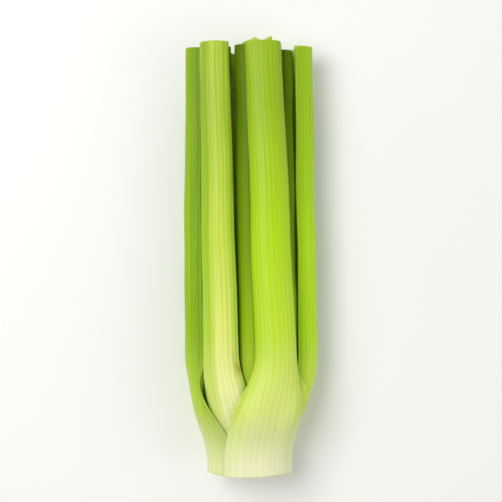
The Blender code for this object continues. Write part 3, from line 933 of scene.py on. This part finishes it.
def leaf_material(chosen):
    """Blanched celery leaf: a ramp along the blade, greener by a smooth step towards the margin."""
    # thin, matt and yellow green, because it grew in the dark of the heart; paler veins
    made, tree = blank_material("blanched_celery_leaf")
    change = np.array(chosen[:]) / np.array(linear(LEAF_BLADE)[:3])
    sideways, along, vein = (node(tree, "Attribute", out="Fac", attribute_name=name)
                             for name in ("sideways", "along", "vein"))
    place = node(tree, "TexCoord", out="Object")
    colour = node(tree, "ValToRGB", {0: along}, stops=[
        (0.0, linear("#d9e07c", change)), (0.4, linear(LEAF_BLADE, change)),
        (1.0, linear("#a9c437", change))])
    margin = node(tree, "Math", {0: sideways}, operation="ABSOLUTE")
    share = node(tree, "MapRange", {0: margin, 1: 0.55, 2: 1.0, 4: 0.55}, **STEP)
    colour = node(tree, "Mix", {0: share, 6: colour, 7: linear("#8fb22c", change)}, 2, **MIX)
    midrib = node(tree, "MapRange", {0: margin, 1: 0.12, 2: 0.02}, **STEP)
    ribs = node(tree, "MapRange", {0: vein, 1: 0.16, 2: 0.04, 4: 0.8}, **STEP)
    ribs = node(tree, "Math", {0: midrib, 1: ribs}, operation="MAXIMUM")
    share = node(tree, "Math", {0: ribs, 1: 0.6}, operation="MULTIPLY")
    colour = node(tree, "Mix", {0: share, 6: colour, 7: linear("#e9eeb0")}, 2, **MIX)
    # cloudy patches 4 mm across
    patch = node(tree, "TexNoise", {"Vector": place, "Scale": 1.0 / (3.85 * MM), "Detail": 3.0,
                                    "Roughness": 0.6})
    share = node(tree, "MapRange", {0: patch, 1: 0.45, 2: 0.75, 4: 0.35}, **STEP)
    colour = node(tree, "Mix", {0: share, 6: colour, 7: linear("#b9cc3e", change)}, 2, **MIX)
    relief = node(tree, "Math", {0: patch, 1: 0.5}, operation="MULTIPLY")
    relief = node(tree, "Math", {0: ribs, 1: -0.6, 2: relief}, operation="MULTIPLY_ADD")
    bump = node(tree, "Bump", {"Strength": 0.5, "Distance": 0.6 * MM, "Height": relief})
    shader = node(tree, "BsdfPrincipled", {
        "Base Color": colour, "Roughness": 0.5, "IOR": 1.4, "Normal": bump,
        "Subsurface Weight": 0.2, "Subsurface Radius": (1.0, 1.0, 0.2),
        "Subsurface Scale": 1.5 * MM})
    node(tree, "OutputMaterial", {"Surface": shader})
    return made


def table_material(chosen):
    """Matt white laminate: one colour, clouded by a noise 0.6 m across."""
    # a plain pale worktop, dull enough to show only soft shadows
    made, tree = blank_material("matt_white_laminate")
    change = np.array(chosen[:]) / np.array(linear(TABLE_TOP)[:3])
    place = node(tree, "TexCoord", out="Object")
    cloud = node(tree, "TexNoise", {"Vector": place, "Scale": 1.0 / (625.0 * MM), "Detail": 2.0})
    colour = node(tree, "ValToRGB", {0: cloud}, stops=[(0.3, linear("#f4f4f2", change)),
                                                       (0.7, linear(TABLE_TOP, change))])
    shader = node(tree, "BsdfPrincipled", {"Base Color": colour, "Roughness": 0.8})
    node(tree, "OutputMaterial", {"Surface": shader})
    return made


# ---- add-on -----------------------------------------------------------------------------------

class CelerySizes(bpy.types.PropertyGroup):
    """Sizes of the surface detail, and of the heart in the view."""
    outer: bpy.props.FloatProperty(
        name="Outer strings", description="Height of the ribs on the outer stalks",
        default=FINISH["outer"]["rise"] * MM, min=0.0, max=1.0 * MM, precision=5, unit="LENGTH")
    middle: bpy.props.FloatProperty(
        name="Middle strings", description="Height of the ribs on the middle stalks",
        default=FINISH["middle"]["rise"] * MM, min=0.0, max=1.0 * MM, precision=5, unit="LENGTH")
    inner: bpy.props.FloatProperty(
        name="Inner strings", description="Height of the ribs on the inner stalks",
        default=FINISH["inner"]["rise"] * MM, min=0.0, max=1.0 * MM, precision=5, unit="LENGTH")
    fill: bpy.props.FloatProperty(
        name="Fill", description="Share of the view's height that the heart takes",
        default=VIEW_FILL, min=0.1, max=1.0, subtype="FACTOR")


class CeleryColours(bpy.types.PropertyGroup):
    """Main colours; the rest of a material's colours follow its main one."""
    pale: bpy.props.FloatVectorProperty(
        name="Pale skin", description="Half way up the wide pale front stalk",
        default=linear(SKINS["pale"][0][MAIN_STOP])[:3], min=0.0, max=1.0, subtype="COLOR")
    vivid: bpy.props.FloatVectorProperty(
        name="Vivid skin", description="Half way up the bright front stalk",
        default=linear(SKINS["vivid"][0][MAIN_STOP])[:3], min=0.0, max=1.0, subtype="COLOR")
    deep: bpy.props.FloatVectorProperty(
        name="Deep skin", description="Half way up the right flank and two middle stalks",
        default=linear(SKINS["deep"][0][MAIN_STOP])[:3], min=0.0, max=1.0, subtype="COLOR")
    # painted shade on the left flank, which lies in its neighbours' shade
    shaded: bpy.props.FloatVectorProperty(
        name="Shaded skin", description="Half way up the left flank",
        default=linear(SKINS["shaded"][0][MAIN_STOP])[:3], min=0.0, max=1.0, subtype="COLOR")
    # painted shade: the dark colour of the stalks set back between others stands for the shade they
    # sit in
    recess: bpy.props.FloatVectorProperty(
        name="Recess skin", description="Half way up the dark stalks set back between others",
        default=linear(SKINS["recess"][0][MAIN_STOP])[:3], min=0.0, max=1.0, subtype="COLOR")
    fresh: bpy.props.FloatVectorProperty(
        name="Fresh skin", description="Half way up the two stalks underneath",
        default=linear(SKINS["fresh"][0][MAIN_STOP])[:3], min=0.0, max=1.0, subtype="COLOR")
    heart: bpy.props.FloatVectorProperty(
        name="Heart skin", description="Half way up the inner stalks",
        default=linear(SKINS["heart"][0][MAIN_STOP])[:3], min=0.0, max=1.0, subtype="COLOR")
    crown: bpy.props.FloatVectorProperty(
        name="Crown", description="Fresh flesh of the root cut",
        default=linear(CROWN_FLESH)[:3], min=0.0, max=1.0, subtype="COLOR")
    leaf: bpy.props.FloatVectorProperty(
        name="Leaf", description="Blade of the heart leaves",
        default=linear(LEAF_BLADE)[:3], min=0.0, max=1.0, subtype="COLOR")
    table: bpy.props.FloatVectorProperty(
        name="Table", description="Floor under the heart",
        default=linear(TABLE_TOP)[:3], min=0.0, max=1.0, subtype="COLOR")


def make_ring(context, ring):
    """Every stalk of one ring, each in its own skin; a skin is made when it is first asked for."""
    sizes, colours = context.scene.celery_sizes, context.scene.celery_colours
    for row in STALKS:
        if row[0] == ring:
            key = SKIN_OF[row[:2]]
            skin = (bpy.data.materials.get(f"waxy_celery_skin_{key}")
                    or skin_material(key, getattr(colours, key)))
            make_stalk(row, skin, getattr(sizes, ring) / MM)
    return {"FINISHED"}


class CELERY_OT_crown(bpy.types.Operator):
    """Build the cut crown that the stalks grow from"""
    bl_idname = "celery.crown"
    bl_label = "Crown"

    def execute(self, context):
        make_crown(crown_material(context.scene.celery_colours.crown))
        return {"FINISHED"}


class CELERY_OT_inner(bpy.types.Operator):
    """Build the three inner stalks"""
    bl_idname = "celery.inner_stalks"
    bl_label = "Inner stalks"

    def execute(self, context):
        return make_ring(context, "inner")


class CELERY_OT_leaves(bpy.types.Operator):
    """Build the small heart leaves"""
    bl_idname = "celery.leaves"
    bl_label = "Heart leaves"

    def execute(self, context):
        material = leaf_material(context.scene.celery_colours.leaf)
        rows = {row[:2]: row for row in STALKS}
        for number, over in LEAVES:
            make_leaves(rows[("inner", number)], over, material)
        return {"FINISHED"}


class CELERY_OT_middle(bpy.types.Operator):
    """Build the five middle stalks"""
    bl_idname = "celery.middle_stalks"
    bl_label = "Middle stalks"

    def execute(self, context):
        return make_ring(context, "middle")


class CELERY_OT_outer(bpy.types.Operator):
    """Build the six outer stalks"""
    bl_idname = "celery.outer_stalks"
    bl_label = "Outer stalks"

    def execute(self, context):
        return make_ring(context, "outer")


class CELERY_OT_stage(bpy.types.Operator):
    """Lay the pale floor, set the soft lights and the camera that looks straight down"""
    bl_idname = "celery.stage"
    bl_label = "Table, lights and camera"

    def execute(self, context):
        scene = context.scene
        mesh = bpy.data.meshes.new("table_top")
        a = TABLE_HALF
        mesh.from_pydata([(-a, -a, 0), (a, -a, 0), (a, a, 0), (-a, a, 0)], [], [(0, 1, 2, 3)])
        mesh.materials.append(table_material(scene.celery_colours.table))
        floor = bpy.data.objects.new("table_top", mesh)
        scene.collection.objects.link(floor)

        # a pale room: bright low down, dimmer overhead, so the gaps between the stalks stay dark
        world = bpy.data.worlds.new("soft_room")
        scene.world = world
        world.use_nodes = True
        sky = world.node_tree
        sky.nodes.clear()
        way = node(sky, "TexCoord", out="Generated")
        way = node(sky, "SeparateXYZ", {0: way}, "Z")
        shade = node(sky, "ValToRGB", {0: way}, stops=[(at, linear(code)) for at, code in SKY])
        shade = node(sky, "Background", {"Color": shade, "Strength": SKY_STRENGTH})
        node(sky, "OutputWorld", {"Surface": shade})

        for name, place, size, tall, power in LAMPS:
            lamp = bpy.data.lights.new(name, "AREA")
            lamp.shape, lamp.size, lamp.size_y, lamp.energy = "RECTANGLE", size, tall, power
            ob = bpy.data.objects.new(name, lamp)
            ob.location = place
            aim = Vector([-part for part in place])
            ob.rotation_mode = "QUATERNION"
            ob.rotation_quaternion = aim.to_track_quat("-Z", "Y")
            scene.collection.objects.link(ob)

        # straight above the middle of the heart, as high as makes its length the chosen share
        low, high = (np.array(corner) for corner in CAD_BOX)
        cam = bpy.data.cameras.new("camera")
        cam.sensor_width, cam.lens = SENSOR, LENS
        seen = (high[1] - low[1]) / scene.celery_sizes.fill
        ob = bpy.data.objects.new("camera", cam)
        ob.location = (0.0, 0.5 * (low[1] + high[1]), high[2] * 0.6 + seen * LENS / SENSOR)
        scene.collection.objects.link(ob)
        scene.camera = ob
        scene.view_settings.view_transform = "Standard"
        return {"FINISHED"}


class CELERY_PT_panel(bpy.types.Panel):
    """Sizes, colours and pieces of the celery heart"""
    bl_idname = "CELERY_PT_panel"
    bl_label = "Celery heart"
    bl_space_type = "VIEW_3D"
    bl_region_type = "UI"
    bl_category = "Celery"

    def draw(self, context):
        for group in (context.scene.celery_sizes, context.scene.celery_colours):
            for key in group.__annotations__:
                self.layout.prop(group, key)
        for operator in OPERATORS:
            self.layout.operator(operator.bl_idname)


OPERATORS = (CELERY_OT_crown, CELERY_OT_inner, CELERY_OT_leaves, CELERY_OT_middle, CELERY_OT_outer,
             CELERY_OT_stage)
CLASSES = (CelerySizes, CeleryColours, *OPERATORS, CELERY_PT_panel)


def register():
    for cls in CLASSES:
        bpy.utils.register_class(cls)
    bpy.types.Scene.celery_sizes = bpy.props.PointerProperty(type=CelerySizes)
    bpy.types.Scene.celery_colours = bpy.props.PointerProperty(type=CeleryColours)


def unregister():
    del bpy.types.Scene.celery_sizes, bpy.types.Scene.celery_colours
    for cls in reversed(CLASSES):
        bpy.utils.unregister_class(cls)


def main():
    """Builds every piece and the stage in order."""
    register()
    bpy.ops.celery.crown()
    bpy.ops.celery.inner_stalks()
    bpy.ops.celery.leaves()
    bpy.ops.celery.middle_stalks()
    bpy.ops.celery.outer_stalks()
    bpy.ops.celery.stage()
    bpy.context.view_layer.update()


if __name__ == "__main__":
    main()
